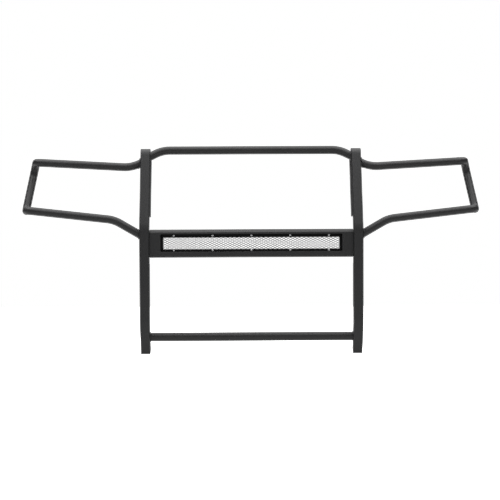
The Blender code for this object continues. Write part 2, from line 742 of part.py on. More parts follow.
for side, side_name in ((-1, "left"), (1, "right")):
    upright, foot, head = make_upright(side, side_name + "_upright")
    make_cap(side_name + "_top_cap", Matrix.Translation(head) @ Matrix.Rotation(-upper_lean, 4, "X"),
             top_cap_height, top_cap_round)
    make_cap(side_name + "_bottom_cap",
             Matrix.Translation(foot) @ Matrix.Rotation(-lower_lean, 4, "X") @ Matrix.Rotation(pi, 4, "X"),
             bottom_cap_height, bottom_cap_round)
    make_rear_plate(side, side_name + "_rear_plate")
    overall_depth = make_brush_guard(side, side_name + "_brush_guard", guard_points)
    inner_joint, outer_joint, lower_joint = top_points[-1], guard_points[0], guard_points[-1]
    make_flange(side, side_name + "_brush_upper_flange", outer_joint)
    make_flange(side, side_name + "_brush_lower_flange", lower_joint)

    middle_x = side * upright_middle_x
    far = upright_width / 2 + strap_reach
    near = upright_width / 2 - strap_edge
    fall = (outer_joint.z - inner_joint.z) / (outer_joint.x - inner_joint.x)
    place = strap_place(middle_x, inner_joint.z + fall * upright_width / 2, side * atan2(fall, 1))
    holes = make_strap(side_name + "_upper_strap", place, -far, far)
    height = lower_joint.z - (lower_joint.x - upright_middle_x) * tan(lower_leg_slope)
    place = strap_place(middle_x, height, side * lower_leg_slope)
    holes += make_strap(side_name + "_lower_strap", place, *sorted((-side * near, side * far)))
    place = strap_place(middle_x, bottom_tube_height, 0)
    holes += make_strap(side_name + "_bottom_strap", place, *sorted((side * near, -side * far)))
    drill(upright, holes, strap_bolt[0] + hole_clearance, 3 * upright_wall)
    make_housing_end(side, side_name + "_housing_end", upright)
    make_bracket(side, side_name + "_frame_bracket", upright)

root.location.y = -overall_depth / 2  # the brush guards reach furthest back
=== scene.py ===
from math import cos, pi, radians, sin, tan

import bmesh
import bpy
from mathutils import Matrix, Vector


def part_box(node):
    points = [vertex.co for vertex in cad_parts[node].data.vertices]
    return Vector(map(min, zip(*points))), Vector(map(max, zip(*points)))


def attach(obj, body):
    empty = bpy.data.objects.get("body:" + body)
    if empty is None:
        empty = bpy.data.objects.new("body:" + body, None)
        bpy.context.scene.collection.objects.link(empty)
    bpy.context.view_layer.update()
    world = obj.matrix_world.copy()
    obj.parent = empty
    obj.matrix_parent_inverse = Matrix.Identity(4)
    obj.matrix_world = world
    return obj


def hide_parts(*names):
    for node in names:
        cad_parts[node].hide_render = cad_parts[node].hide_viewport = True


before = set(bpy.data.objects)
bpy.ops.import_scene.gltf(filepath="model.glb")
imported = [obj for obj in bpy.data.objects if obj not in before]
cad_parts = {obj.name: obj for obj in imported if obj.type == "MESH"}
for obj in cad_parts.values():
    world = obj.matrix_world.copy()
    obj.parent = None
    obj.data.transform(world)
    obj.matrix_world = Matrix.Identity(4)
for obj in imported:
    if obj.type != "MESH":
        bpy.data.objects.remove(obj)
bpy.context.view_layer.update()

print("frame loaded")

near = 0.0001  # lengths closer than this count as the same
weld = 0.00001  # points closer than this are joined
xAxis, yAxis, zAxis = Vector((1, 0, 0)), Vector((0, 1, 0)), Vector((0, 0, 1))
mirror = Matrix.Diagonal((-1, 1, 1, 1))


# Editing helpers: the work is done with Blender's own operators, these pick what they act on

def deselectAll():
    bpy.ops.object.select_all(action="DESELECT")


def makeActive(*pieces):
    # selects these alone, the first one active
    deselectAll()
    for piece in pieces:
        piece.select_set(True)
    bpy.context.view_layer.objects.active = pieces[0]


def startPiece(name):
    # names the primitive that was just added, sets its place in its mesh, and opens it for editing
    piece = bpy.context.object
    piece.name = piece.data.name = name
    bpy.ops.object.transform_apply(location=True, rotation=True, scale=True)
    bpy.ops.object.mode_set(mode="EDIT")
    return piece


def pick(kind, test):
    bpy.ops.mesh.select_mode(type=kind)
    bpy.ops.mesh.select_all(action="DESELECT")
    shape = bmesh.from_edit_mesh(bpy.context.object.data)
    for element in {"VERT": shape.verts, "EDGE": shape.edges, "FACE": shape.faces}[kind]:
        if test(element):
            element.select_set(True)
    shape.select_flush_mode()
    bmesh.update_edit_mesh(bpy.context.object.data)


def middle(element):
    return sum((vert.co for vert in element.verts), Vector()) / len(element.verts)


def runs(edge, axis):
    # true where an edge lies along a direction
    line = edge.verts[1].co - edge.verts[0].co
    return abs(line.normalized().dot(axis)) > 0.999


def folded(edge, angle):
    # true where two faces meet at more than an angle in degrees
    return len(edge.link_faces) == 2 and edge.calc_face_angle(0) > radians(angle)


def cut(test, co, no):
    # adds edges where a plane crosses the picked faces
    pick("FACE", test)
    bpy.ops.mesh.bisect(plane_co=co, plane_no=no)


def smooth(angle):
    bpy.ops.object.shade_smooth_by_angle(angle=radians(angle))


def modified(piece, kind, **settings):
    modifier = piece.modifiers.new(kind.lower(), kind)
    for key, value in settings.items():
        setattr(modifier, key, value)
    bpy.ops.object.modifier_apply(modifier=modifier.name)


def thickened(piece, wall, angle):
    # turns a surface into sheet, towards its inner side
    modified(piece, "SOLIDIFY", thickness=wall, offset=-1, use_even_offset=True)
    smooth(angle)


def closePiece(angle=35):
    # welds doubles, points the faces out and leaves edit mode
    bpy.ops.mesh.select_all(action="SELECT")
    bpy.ops.mesh.remove_doubles(threshold=weld)
    bpy.ops.mesh.normals_make_consistent(inside=False)
    bpy.ops.object.mode_set(mode="OBJECT")
    smooth(angle)


def combined(piece, tool, operation):
    # cuts a piece with a tool, or keeps what the two share
    makeActive(piece)
    modified(piece, "BOOLEAN", object=tool, operation=operation, solver="EXACT")
    bpy.data.objects.remove(tool)


def copied(mesh, name, place):
    # a piece with its own copy of a mesh, moved or mirrored by a matrix
    piece = bpy.data.objects.new(name, mesh.copy())
    bpy.context.collection.objects.link(piece)
    makeActive(piece)
    piece.data.transform(place)
    if place.determinant() < 0:
        piece.data.flip_normals()
    return piece


def joined(*pieces):
    makeActive(*pieces)
    bpy.ops.object.join()
    smooth(30)
    return pieces[0]


def settle(piece, finish, node):
    # gives a finished piece its material and its body, and hides the CAD node it stands for
    piece.data.materials.clear()
    piece.data.materials.append(finish.material)
    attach(piece, "root")
    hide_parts(node)


def camel(words):
    first, *rest = words.split("_")
    return first + "".join(word.capitalize() for word in rest)


# Shader helpers: an expression on values adds its Math nodes

class Value:
    def __init__(self, nodes, socket):
        self.nodes = nodes
        self.socket = socket

    def joined(self, operation, first, second):
        made = self.nodes.node("ShaderNodeMath", {"operation": operation}, {0: first, 1: second})
        return Value(self.nodes, made.outputs[0])

    def __add__(self, other):
        return self.joined("ADD", self, other)

    def __sub__(self, other):
        return self.joined("SUBTRACT", self, other)

    def __rsub__(self, other):
        return self.joined("SUBTRACT", other, self)

    def __mul__(self, other):
        return self.joined("MULTIPLY", self, other)

    def atLeast(self, other):
        return self.joined("MAXIMUM", self, other)

    __radd__ = __add__
    __rmul__ = __mul__


class Nodes:
    def __init__(self, tree):
        self.tree = tree

    def node(self, kind, settings, sockets):
        made = self.tree.nodes.new(kind)
        for key, value in settings.items():
            if key == "stops":
                for stop, (position, shade) in zip(made.color_ramp.elements, value):
                    stop.position, stop.color = position, (shade, shade, shade, 1)
            else:
                setattr(made, key, value)
        for key, value in sockets.items():
            self.feed(made.inputs[key], value)
        return made

    def feed(self, socket, value):
        if isinstance(value, Value):
            value = value.socket
        if isinstance(value, bpy.types.NodeSocket):
            self.tree.links.new(value, socket)
        else:
            socket.default_value = value

    def cameraRay(self):
        # 1 for what the camera sees directly, 0 for light that bounces
        return Value(self, self.node("ShaderNodeLightPath", {}, {}).outputs["Is Camera Ray"])


class Finish(Nodes):
    def __init__(self, name, slot, metallic, specular=0.5):
        self.slot = slot
        self.material = bpy.data.materials.new(name)
        self.material.use_nodes = True
        super().__init__(self.material.node_tree)
        self.put("Metallic", metallic)
        self.put("Specular IOR Level", specular)
        self.place = self.node("ShaderNodeTexCoord", {}, {}).outputs["Object"]

    def put(self, socket, value):
        self.feed(self.tree.nodes["Principled BSDF"].inputs[socket], value)

    def noise(self, scale, detail):
        made = self.node("ShaderNodeTexNoise", {}, {"Vector": self.place, "Scale": scale, "Detail": detail})
        return Value(self, made.outputs["Fac"])

    def ramp(self, value, *stops):
        made = self.node("ShaderNodeValToRGB", {"stops": stops}, {"Fac": value})
        return Value(self, made.outputs["Color"])

    def colours(self, factor, first, second):
        made = self.node("ShaderNodeMix", {"data_type": "RGBA"},
                         {0: factor, 6: (*first, 1), 7: (*second, 1)})
        self.put("Base Color", made.outputs[2])

    def bump(self, height, strength, distance):
        made = self.node("ShaderNodeBump", {}, {"Height": height, "Strength": strength, "Distance": distance})
        self.put("Normal", made.outputs[0])


# Textured black powder coat: fine grain, a soft orange peel and slow changes of sheen
powderCoat = {"dark": (0.018, 0.018, 0.0185), "light": (0.026, 0.026, 0.0268), "specular": 0.32,
              "grain": 1500, "grainColour": 0.4, "grainRoughness": 0.06, "grainBump": 0.7,
              "peel": 420, "peelBump": 0.5, "drift": 5, "driftColour": 0.6, "driftRoughness": 0.10,
              "roughness": 0.40, "bump": 0.5, "depth": 0.00016}

powder = Finish("texturedBlackPowderCoat", "black_powder_coat", 0.0, powderCoat["specular"])
drift = powder.noise(powderCoat["drift"], 3)
grain = powder.noise(powderCoat["grain"], 2)
peel = powder.noise(powderCoat["peel"], 1)
powder.colours(drift * powderCoat["driftColour"] + grain * powderCoat["grainColour"],
               powderCoat["dark"], powderCoat["light"])
powder.put("Roughness", powderCoat["roughness"] + (drift - 0.5) * powderCoat["driftRoughness"]
           + grain * powderCoat["grainRoughness"])
powder.bump(grain * powderCoat["grainBump"] + peel * powderCoat["peelBump"],
            powderCoat["bump"], powderCoat["depth"])

# Matt black coating of the mesh and its frame, its colour made darker than the coating itself to paint the
# shade that falls in the window's recess under the housing's top
meshCoatPaintedShade = {"dark": (0.003, 0.003, 0.0032), "light": (0.006, 0.006, 0.0063), "specular": 0.12,
            "grain": 1800, "grainRoughness": 0.12, "roughness": 0.60, "bump": 0.4, "depth": 0.00010}

mattBlackPaintedShade = Finish("mattBlackCoat", "black_mesh", 0.0, meshCoatPaintedShade["specular"])
grain = mattBlackPaintedShade.noise(meshCoatPaintedShade["grain"], 2)
mattBlackPaintedShade.colours(grain, meshCoatPaintedShade["dark"], meshCoatPaintedShade["light"])
mattBlackPaintedShade.put("Roughness", meshCoatPaintedShade["roughness"] + (grain - 0.5) * meshCoatPaintedShade["grainRoughness"])
mattBlackPaintedShade.bump(grain, meshCoatPaintedShade["bump"], meshCoatPaintedShade["depth"])

# Zinc plate: cloudy, with a faint warm and cool tint
zincPlate = {"warm": (0.56, 0.54, 0.50), "cool": (0.60, 0.62, 0.66), "cloud": 160, "warmBelow": 0.3,
             "coolAbove": 0.7, "roughness": 0.30, "cloudRoughness": 0.18, "grain": 2200, "bump": 0.15,
             "depth": 0.00005}

zinc = Finish("zincPlate", "zinc_bolts", 1.0)
cloud = zinc.noise(zincPlate["cloud"], 4)
zinc.colours(zinc.ramp(cloud, (zincPlate["warmBelow"], 0.0), (zincPlate["coolAbove"], 1.0)),
             zincPlate["warm"], zincPlate["cool"])
zinc.put("Roughness", zincPlate["roughness"] + cloud * zincPlate["cloudRoughness"])
zinc.bump(zinc.noise(zincPlate["grain"], 2), zincPlate["bump"], zincPlate["depth"])

# Bright stainless steel: turned heads with fine marks
stainlessSteel = {"dark": (0.78, 0.78, 0.79), "light": (0.92, 0.92, 0.92), "marks": 2600,
                  "roughness": 0.24, "marksRoughness": 0.12, "bump": 0.1, "depth": 0.00003}

stainless = Finish("brightStainless", "stainless_screws", 1.0)
marks = stainless.noise(stainlessSteel["marks"], 3)
stainless.colours(marks, stainlessSteel["dark"], stainlessSteel["light"])
stainless.put("Roughness", stainlessSteel["roughness"] + marks * stainlessSteel["marksRoughness"])
stainless.bump(marks, stainlessSteel["bump"], stainlessSteel["depth"])
print("finishes made")


# Side view of the uprights: three straight lengths between two bends, and the round tubes behind their front
sideView = {"frontY": -0.14387, "height": 0.906, "lowerBend": 0.11796, "upperBend": 0.54904,
            "lowerLean": radians(-29.2), "middleLean": radians(-2.7), "upperLean": radians(19.6),
            "tubeBack": 0.032}


def frontAt(height):
    # Y of the uprights' front face, its bends taken as sharp corners
    above = height - sideView["upperBend"]
    if above > 0:
        return sideView["frontY"] + above * tan(sideView["upperLean"])
    above = max(height, sideView["lowerBend"]) - sideView["upperBend"]
    below = min(height - sideView["lowerBend"], 0)
    return sideView["frontY"] + above * tan(sideView["middleLean"]) + below * tan(sideView["lowerLean"])


def tubeAt(x, height):
    # a point of a round tube's centre line, beside a straight length of the uprights
    if height > sideView["upperBend"]:
        lean = sideView["upperLean"]
    else:
        lean = sideView["middleLean" if height > sideView["lowerBend"] else "lowerLean"]
    return Vector((x, frontAt(height) + sideView["tubeBack"] / cos(lean), height))


def upAlong(lean):
    return Vector((0, sin(lean), cos(lean)))


def backFrom(lean):
    return Vector((0, cos(lean), -sin(lean)))


# Bent tubes

def followPath(points, bends):
    # carries the selected ring along straight runs and round bends of (radius, steps)
    here = points[0]
    for corner, after, (radius, steps) in zip(points[1:], points[2:], bends):
        ahead = (corner - here).normalized()
        beyond = (after - corner).normalized()
        turn = ahead.angle(beyond)
        start = corner - ahead * radius * tan(turn / 2)
        axis = ahead.cross(beyond).normalized()
        bpy.ops.mesh.extrude_region_move(TRANSFORM_OT_translate={"value": start - here})
        bpy.ops.mesh.spin(steps=steps, angle=-turn, center=start + axis.cross(ahead) * radius, axis=axis)
        here = corner + beyond * radius * tan(turn / 2)
    bpy.ops.mesh.extrude_region_move(TRANSFORM_OT_translate={"value": points[-1] - here})


def roundTube(name, path, bends, radius, wall, sides, endsX):
    # a bent round tube, made too long and then cut upright at each end
    first, last = path[0] - path[1], path[-1] - path[-2]
    points = [path[0] + first.normalized() * 2 * radius, *path[1:-1],
              path[-1] + last.normalized() * 2 * radius]
    deselectAll()
    bpy.ops.mesh.primitive_circle_add(vertices=sides, radius=radius, location=points[0],
                                      rotation=(-first).to_track_quat("Z", "Y").to_euler())
    tube = startPiece(name)
    bpy.ops.mesh.select_all(action="SELECT")
    followPath(points, bends)
    for endX, outward in zip(endsX, (first, last)):
        bpy.ops.mesh.select_all(action="SELECT")
        bpy.ops.mesh.bisect(plane_co=(endX, 0, 0), plane_no=(outward.x, 0, 0), clear_outer=True)
    closePiece(50)
    thickened(tube, wall, 50)
    return tube


# Weld beads where round tubes meet flat faces
weldBead = {"thick": 0.0021, "out": 0.0007, "outside": 0.0004, "around": 56, "section": 16}


def welded(tube, radius, path):
    # adds a bead at each end of a tube's centre line
    beads = []
    for point, further in ((path[0], path[1]), (path[-1], path[-2])):
        line = (further - point).normalized()
        out = weldBead["out"] if line.x > 0 else -weldBead["out"]
        deselectAll()
        bpy.ops.mesh.primitive_torus_add(
            major_segments=weldBead["around"], minor_segments=weldBead["section"],
            major_radius=radius + weldBead["outside"], minor_radius=weldBead["thick"],
            location=point + out * xAxis, rotation=(0, pi / 2, 0))
        bpy.context.object.scale.x = 1 / abs(line.x)
        beads.append(startPiece("weldBead"))
        closePiece()
    return joined(tube, *beads)


# Cross tubes between the uprights
crossTubes = {"topRadius": 0.0171, "bottomRadius": 0.0183, "wall": 0.002, "sides": 48, "endX": 0.4447,
              "topHeight": 0.897, "cornerX": 0.391, "legX": 0.445, "slope": radians(26.6),
              "bend": (0.130, 12), "bottomHeight": 0.07547}

ends = (-crossTubes["endX"], crossTubes["endX"])
fall = (crossTubes["legX"] - crossTubes["cornerX"]) * tan(crossTubes["slope"])
path = [tubeAt(-crossTubes["legX"], crossTubes["topHeight"] - fall),
        tubeAt(-crossTubes["cornerX"], crossTubes["topHeight"]),
        tubeAt(crossTubes["cornerX"], crossTubes["topHeight"]),
        tubeAt(crossTubes["legX"], crossTubes["topHeight"] - fall)]
topTube = roundTube("topCrossTube", path, [crossTubes["bend"]] * 2, crossTubes["topRadius"],
                    crossTubes["wall"], crossTubes["sides"], ends)
settle(welded(topTube, crossTubes["topRadius"], path), powder, "top_cross_tube")

path = [tubeAt(x, crossTubes["bottomHeight"]) for x in ends]
bottomTube = roundTube("bottomCrossTube", path, [], crossTubes["bottomRadius"],
                       crossTubes["wall"], crossTubes["sides"], ends)
settle(welded(bottomTube, crossTubes["bottomRadius"], path), powder, "bottom_cross_tube")
print("cross tubes made")


# Brush guards: one bent tube each, the left one mirrored
brushGuard = {"radius": 0.0165, "wall": 0.002, "sides": 48, "endX": 0.4886,
              "upperCorner": (0.525, 0.821), "upperSlope": radians(26.6),
              "lowerCorner": (0.597, 0.58799), "lowerSlope": radians(30),
              "loopTop": 0.84802, "loopBottom": 0.63203,
              "topInner": (0.954, 0.190), "topOuter": (0.9705, 0.305),
              "bottomOuter": (0.9985, 0.175), "bottomInner": (0.982, 0.090),
              "bends": [(0.130, 10), (0.045, 14), (0.045, 16), (0.045, 16), (0.045, 14), (0.130, 10)]}


def loopCorner(corner, height):
    # the loop's corners are given by X and by how far they lie behind the uprights' front
    x, back = corner
    return Vector((x, sideView["frontY"] + back, height))


upperX, upperHeight = brushGuard["upperCorner"]
lowerX, lowerHeight = brushGuard["lowerCorner"]
rise = (upperX - brushGuard["endX"]) * tan(brushGuard["upperSlope"])
fall = (lowerX - brushGuard["endX"]) * tan(brushGuard["lowerSlope"])
lowerEnd = tubeAt(brushGuard["endX"], lowerHeight - fall)
path = [tubeAt(brushGuard["endX"], upperHeight + rise), tubeAt(upperX, upperHeight),
        loopCorner(brushGuard["topInner"], brushGuard["loopTop"]),
        loopCorner(brushGuard["topOuter"], brushGuard["loopTop"]),
        loopCorner(brushGuard["bottomOuter"], brushGuard["loopBottom"]),
        loopCorner(brushGuard["bottomInner"], brushGuard["loopBottom"]),
        Vector((lowerX, lowerEnd.y + fall * tan(sideView["middleLean"]), lowerHeight)), lowerEnd]
rightGuard = roundTube("rightBrushGuard", path, brushGuard["bends"], brushGuard["radius"],
                       brushGuard["wall"], brushGuard["sides"], [brushGuard["endX"]] * 2)
welded(rightGuard, brushGuard["radius"], path)
leftGuard = copied(rightGuard.data, "leftBrushGuard", mirror)
settle(rightGuard, powder, "right_brush_guard")
settle(leftGuard, powder, "left_brush_guard")
print("brush guards made")


# Uprights: rectangular tube with rounded corners, bent twice
upright = {"x": 0.46525, "width": 0.0405, "depth": 0.050, "wall": 0.003, "corner": 0.006, "cornerSteps": 7,
           "bends": [(0.130, 14), (0.100, 12)], "floor": -0.00235, "footHeight": 0.009, "footGap": 0.0003,
           "footRound": 0.0065, "headRaise": 0.0074, "headHeight": 0.040, "headRound": 0.036,
           "headBackRound": 0.010, "capEdge": 0.002, "capSteps": 3}


def behindFront(height, lean, back):
    # a point of the upright at some depth, square behind its front face
    return Vector((upright["x"], frontAt(height), height)) + backFrom(lean) * back


def bendCorner(height, below, above):
    # the centre line's corner where two leans meet
    return behindFront(height, (below + above) / 2, upright["depth"] / 2 / cos((above - below) / 2))


foot = behindFront(upright["floor"], sideView["lowerLean"], upright["depth"] / 2)
head = (behindFront(sideView["height"], sideView["upperLean"], upright["depth"] / 2)
        + upAlong(sideView["upperLean"]) * upright["headRaise"])
path = [foot + upAlong(sideView["lowerLean"]) * (upright["footHeight"] + upright["footGap"]),
        bendCorner(sideView["lowerBend"], sideView["lowerLean"], sideView["middleLean"]),
        bendCorner(sideView["upperBend"], sideView["middleLean"], sideView["upperLean"]),
        head - upAlong(sideView["upperLean"]) * upright["headHeight"]]
deselectAll()
bpy.ops.mesh.primitive_plane_add(size=1, location=path[0], rotation=(-sideView["lowerLean"], 0, 0))
bpy.context.object.scale = (upright["width"], upright["depth"], 1)
rightUpright = startPiece("rightUpright")
bpy.ops.mesh.select_all(action="SELECT")
bpy.ops.mesh.bevel(offset=upright["corner"], segments=upright["cornerSteps"], affect="VERTICES")
bpy.ops.mesh.select_all(action="SELECT")
bpy.ops.mesh.delete(type="ONLY_FACE")
bpy.ops.mesh.select_all(action="SELECT")
followPath(path, upright["bends"])
closePiece(40)
thickened(rightUpright, upright["wall"], 40)


def makeCap(name, point, turn, height, frontRound, backRound):
    # a block with rounded corners, cut by a wider one whose outer edges are rounded front and back
    place = Matrix.Translation(point) @ Matrix.Rotation(turn, 4, "X")
    inverse = place.inverted()

    def block(blockName, breadth, offset, test):
        deselectAll()
        bpy.ops.mesh.primitive_cube_add(size=1, location=place @ Vector((0, 0, -height / 2)),
                                        rotation=(turn, 0, 0))
        bpy.context.object.scale = (breadth, upright["depth"], height)
        made = startPiece(blockName)
        pick("EDGE", test)
        bpy.ops.mesh.bevel(offset=offset, segments=upright["cornerSteps"])
        return made

    def onTop(edge):
        return runs(edge, xAxis) and (inverse @ middle(edge)).z > -near

    def onTopFront(edge):
        return onTop(edge) and middle(edge).y < point.y

    def onTopSide(edge):
        return onTop(edge) and abs((inverse @ middle(edge)).y - upright["depth"] / 2) < near

    def onLongCorner(edge):
        return abs((inverse @ middle(edge)).z + height / 2) < near

    def onOutside(edge):
        return folded(edge, 40) and (inverse @ middle(edge)).z > 3 * near - height

    rounder = block("rounder", upright["width"] * 1.5, frontRound, onTopFront)
    pick("EDGE", onTopSide)
    bpy.ops.mesh.bevel(offset=backRound, segments=upright["cornerSteps"])
    bpy.ops.object.mode_set(mode="OBJECT")
    cap = block(name, upright["width"], upright["corner"], onLongCorner)
    bpy.ops.object.mode_set(mode="OBJECT")
    combined(cap, rounder, "INTERSECT")
    bpy.ops.object.mode_set(mode="EDIT")
    bpy.ops.mesh.select_all(action="SELECT")
    bpy.ops.mesh.remove_doubles(threshold=2 * weld)
    pick("EDGE", onOutside)
    bpy.ops.mesh.bevel(offset=upright["capEdge"], segments=upright["capSteps"], clamp_overlap=True)
    closePiece(40)
    return cap


rightHead = makeCap("rightTopCap", head, -sideView["upperLean"], upright["headHeight"],
                    upright["headRound"], upright["headBackRound"])
rightFoot = makeCap("rightBottomCap", foot, pi - sideView["lowerLean"], upright["footHeight"],
                    upright["footRound"], upright["footRound"])
for piece, node in ((rightUpright, "upright"), (rightHead, "top_cap"), (rightFoot, "bottom_cap")):
    other = copied(piece.data, "left" + piece.name[len("right"):], mirror)
    settle(piece, powder, "right_" + node)
    settle(other, powder, "left_" + node)
print("uprights made")


# Light housing: a folded sheet, open behind, with a tray behind its window
housing = {"halfWidth": 0.4414, "front": sideView["frontY"] + 0.015, "depth": 0.075, "bottom": 0.424,
           "top": 0.544, "sheet": 0.0025, "topChamfer": 0.0118, "bottomChamfer": 0.004,
           "windowHalf": 0.395, "windowMiddle": 0.4865, "windowHalfHeight": 0.038, "recess": 0.0145,
           "openingHalf": 0.383, "openingHalfHeight": 0.027, "foldRound": 0.0025, "foldSteps": 4,
           "rimRound": 0.0010, "rimSteps": 3, "cornerRound": 0.004, "cornerSteps": 5, "rimZone": 0.002}

front, back = housing["front"], housing["front"] + housing["depth"]
low, high = housing["bottom"], housing["top"]
windowLow = housing["windowMiddle"] - housing["windowHalfHeight"]
windowHigh = housing["windowMiddle"] + housing["windowHalfHeight"]


def onFrontFold(edge, height):
    centre = middle(edge)
    return runs(edge, xAxis) and centre.y < front + near and abs(centre.z - height) < near


def inFront(face):
    return face.normal.y < -0.99


def inWindow(face):
    return (inFront(face) and abs(middle(face).x) < housing["windowHalf"]
            and windowLow < middle(face).z < windowHigh)


def inOpening(face):
    return (inWindow(face) and abs(middle(face).x) < housing["openingHalf"]
            and abs(middle(face).z - housing["windowMiddle"]) < housing["openingHalfHeight"])


def onCorner(edge):
    # the window's four short corner edges, from its rim to the tray's floor
    centre = middle(edge)
    return (runs(edge, yAxis) and abs(abs(centre.x) - housing["windowHalf"]) < near
            and min(abs(centre.z - windowLow), abs(centre.z - windowHigh)) < near)


def onRim(edge):
    # the window's outline in the front face, and in the tray's floor
    level = any(all(abs(vert.co.y - depth) < near for vert in edge.verts)
                for depth in (front, front + housing["recess"]))
    return level and folded(edge, 60)


def onFold(edge):
    # the long folds above and below the window
    return (runs(edge, xAxis) and folded(edge, 30)
            and not windowLow - housing["rimZone"] < middle(edge).z < windowHigh + housing["rimZone"])


deselectAll()
bpy.ops.mesh.primitive_cube_add(size=1, location=(0, (front + back) / 2, (low + high) / 2))
bpy.context.object.scale = (2 * housing["halfWidth"], housing["depth"], high - low)
shell = startPiece("lightHousing")
pick("FACE", lambda face: abs(face.normal.x) > 0.9 or face.normal.y > 0.9)
bpy.ops.mesh.delete(type="FACE")
pick("EDGE", lambda edge: onFrontFold(edge, high))
bpy.ops.mesh.bevel(offset=housing["topChamfer"], segments=1)
pick("EDGE", lambda edge: onFrontFold(edge, low))
bpy.ops.mesh.bevel(offset=housing["bottomChamfer"], segments=1)
for x in (-housing["windowHalf"], housing["windowHalf"]):
    cut(inFront, (x, 0, 0), xAxis)
for z in (windowLow, windowHigh):
    cut(inFront, (0, 0, z), zAxis)
pick("FACE", inWindow)
bpy.ops.mesh.extrude_region_move(TRANSFORM_OT_translate={"value": (0, housing["recess"], 0)})
for x in (-housing["openingHalf"], housing["openingHalf"]):
    cut(inWindow, (x, 0, 0), xAxis)
for z in (-housing["openingHalfHeight"], housing["openingHalfHeight"]):
    cut(inWindow, (0, 0, housing["windowMiddle"] + z), zAxis)
pick("FACE", inOpening)
bpy.ops.mesh.delete(type="FACE")
closePiece()
bpy.ops.object.mode_set(mode="EDIT")
pick("EDGE", onCorner)
bpy.ops.mesh.bevel(offset=housing["cornerRound"], segments=housing["cornerSteps"])
pick("EDGE", onRim)
bpy.ops.mesh.bevel(offset=housing["rimRound"], segments=housing["rimSteps"])
pick("EDGE", onFold)
bpy.ops.mesh.bevel(offset=housing["foldRound"], segments=housing["foldSteps"])
closePiece(30)
thickened(shell, housing["sheet"], 30)
settle(shell, powder, "light_housing")
print("light housing made")


# Expanded metal: one bond with its four half strands, repeated in two staggered sets
expanded = {"longWay": 0.0195, "shortWay": 0.00975, "strand": 0.00070, "thickness": 0.0008, "bond": 0.0024,
            "tilt": radians(28), "columns": 40, "rows": 7}

panelLow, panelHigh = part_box("mesh_panel")
start = Vector((-expanded["longWay"] * (expanded["columns"] - 0.5) / 2, (panelLow.y + panelHigh.y) / 2,
                housing["windowMiddle"] - expanded["shortWay"] * (expanded["rows"] - 0.5) / 2))
deselectAll()
bpy.ops.mesh.primitive_cube_add(size=1, location=start, rotation=(expanded["tilt"], 0, 0))
bpy.context.object.scale = (expanded["bond"], expanded["thickness"], 2 * expanded["strand"])
net = startPiece("expandedMesh")
bpy.ops.mesh.select_all(action="SELECT")
bpy.ops.mesh.bisect(plane_co=start, plane_no=upAlong(expanded["tilt"]))
for sideX in (-1, 1):
    for sideZ in (-1, 1):
        pick("FACE", lambda face: face.normal.x * sideX > 0.9 and (middle(face).z - start.z) * sideZ > 0)
        shape = bmesh.from_edit_mesh(net.data)
        centre = next(middle(face) for face in shape.faces if face.select)
        target = start + Vector((sideX * expanded["longWay"] / 4, 0, sideZ * expanded["shortWay"] / 4))
        for step in range(2):
            bpy.ops.mesh.extrude_region_move(TRANSFORM_OT_translate={"value": (target - centre) / 2})
        bpy.ops.mesh.delete(type="ONLY_FACE")
closePiece()
for count, step in ((2, (expanded["longWay"] / 2, 0, expanded["shortWay"] / 2)),
                    (expanded["columns"], (expanded["longWay"], 0, 0)),
                    (expanded["rows"], (0, 0, expanded["shortWay"]))):
    modified(net, "ARRAY", count=count, use_relative_offset=False, use_constant_offset=True,
             constant_offset_displace=step)
bpy.ops.object.mode_set(mode="EDIT")
bpy.ops.mesh.select_all(action="SELECT")
bpy.ops.mesh.remove_doubles(threshold=5 * weld)
bpy.ops.mesh.select_all(action="DESELECT")
bpy.ops.mesh.select_mode(type="EDGE")
bpy.ops.mesh.select_non_manifold()
bpy.ops.mesh.fill_holes(sides=4)
bpy.ops.object.mode_set(mode="OBJECT")
smooth(25)
# the mesh gets the matt black coat that is darkened with painted shade
settle(net, mattBlackPaintedShade, "mesh_panel")
print("expanded mesh made")


# Plates: welded copies of the CAD solids with their sharp edges broken
plates = {"edge": 0.0007, "borderEdge": 0.0004, "steps": 2, "rearTop": 0.006, "rearRaise": 0.008,
          "borderInside": 0.0284, "borderTopDrop": 0.0036, "borderBottomDrop": 0.0012,
          "nodes": ["housing_end", "upper_strap", "lower_strap", "bottom_strap", "brush_upper_flange",
                    "brush_lower_flange", "rear_plate", "frame_bracket"]}


def softenedCopy(name, node, width):
    piece = copied(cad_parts[node].data, name, Matrix())
    bpy.ops.object.mode_set(mode="EDIT")
    bpy.ops.mesh.select_all(action="SELECT")
    bpy.ops.mesh.remove_doubles(threshold=2 * weld)
    bpy.ops.mesh.dissolve_limited(angle_limit=radians(1))
    bpy.ops.object.mode_set(mode="OBJECT")
    modified(piece, "BEVEL", width=width, segments=plates["steps"], limit_method="ANGLE",
             angle_limit=radians(40))
    smooth(40)
    return piece


def raisePoints(piece, test, rise):
    makeActive(piece)
    bpy.ops.object.mode_set(mode="EDIT")
    pick("VERT", test)
    bpy.ops.transform.translate(value=(0, 0, rise))
    bpy.ops.object.mode_set(mode="OBJECT")


for side in ("left", "right"):
    for node in plates["nodes"]:
        name = side + "_" + node
        plate = softenedCopy(camel(name) + "Plate", name, plates["edge"])
        if node == "rear_plate":
            # its level top is carried up, out of sight behind the top tube
            top = max(vert.co.z for vert in plate.data.vertices)
            raisePoints(plate, lambda vert: vert.co.z > top - plates["rearTop"], plates["rearRaise"])
        settle(plate, powder, name)

border = softenedCopy("meshFrameBorder", "mesh_frame", plates["borderEdge"])
centre, inside = housing["windowMiddle"], plates["borderInside"]
raisePoints(border, lambda vert: 0 < vert.co.z - centre < inside, -plates["borderTopDrop"])
raisePoints(border, lambda vert: -inside < vert.co.z - centre <= 0, -plates["borderBottomDrop"])
# the frame gets the matt black coat that is darkened with painted shade of the recess
settle(border, mattBlackPaintedShade, "mesh_frame")
print("plates made")


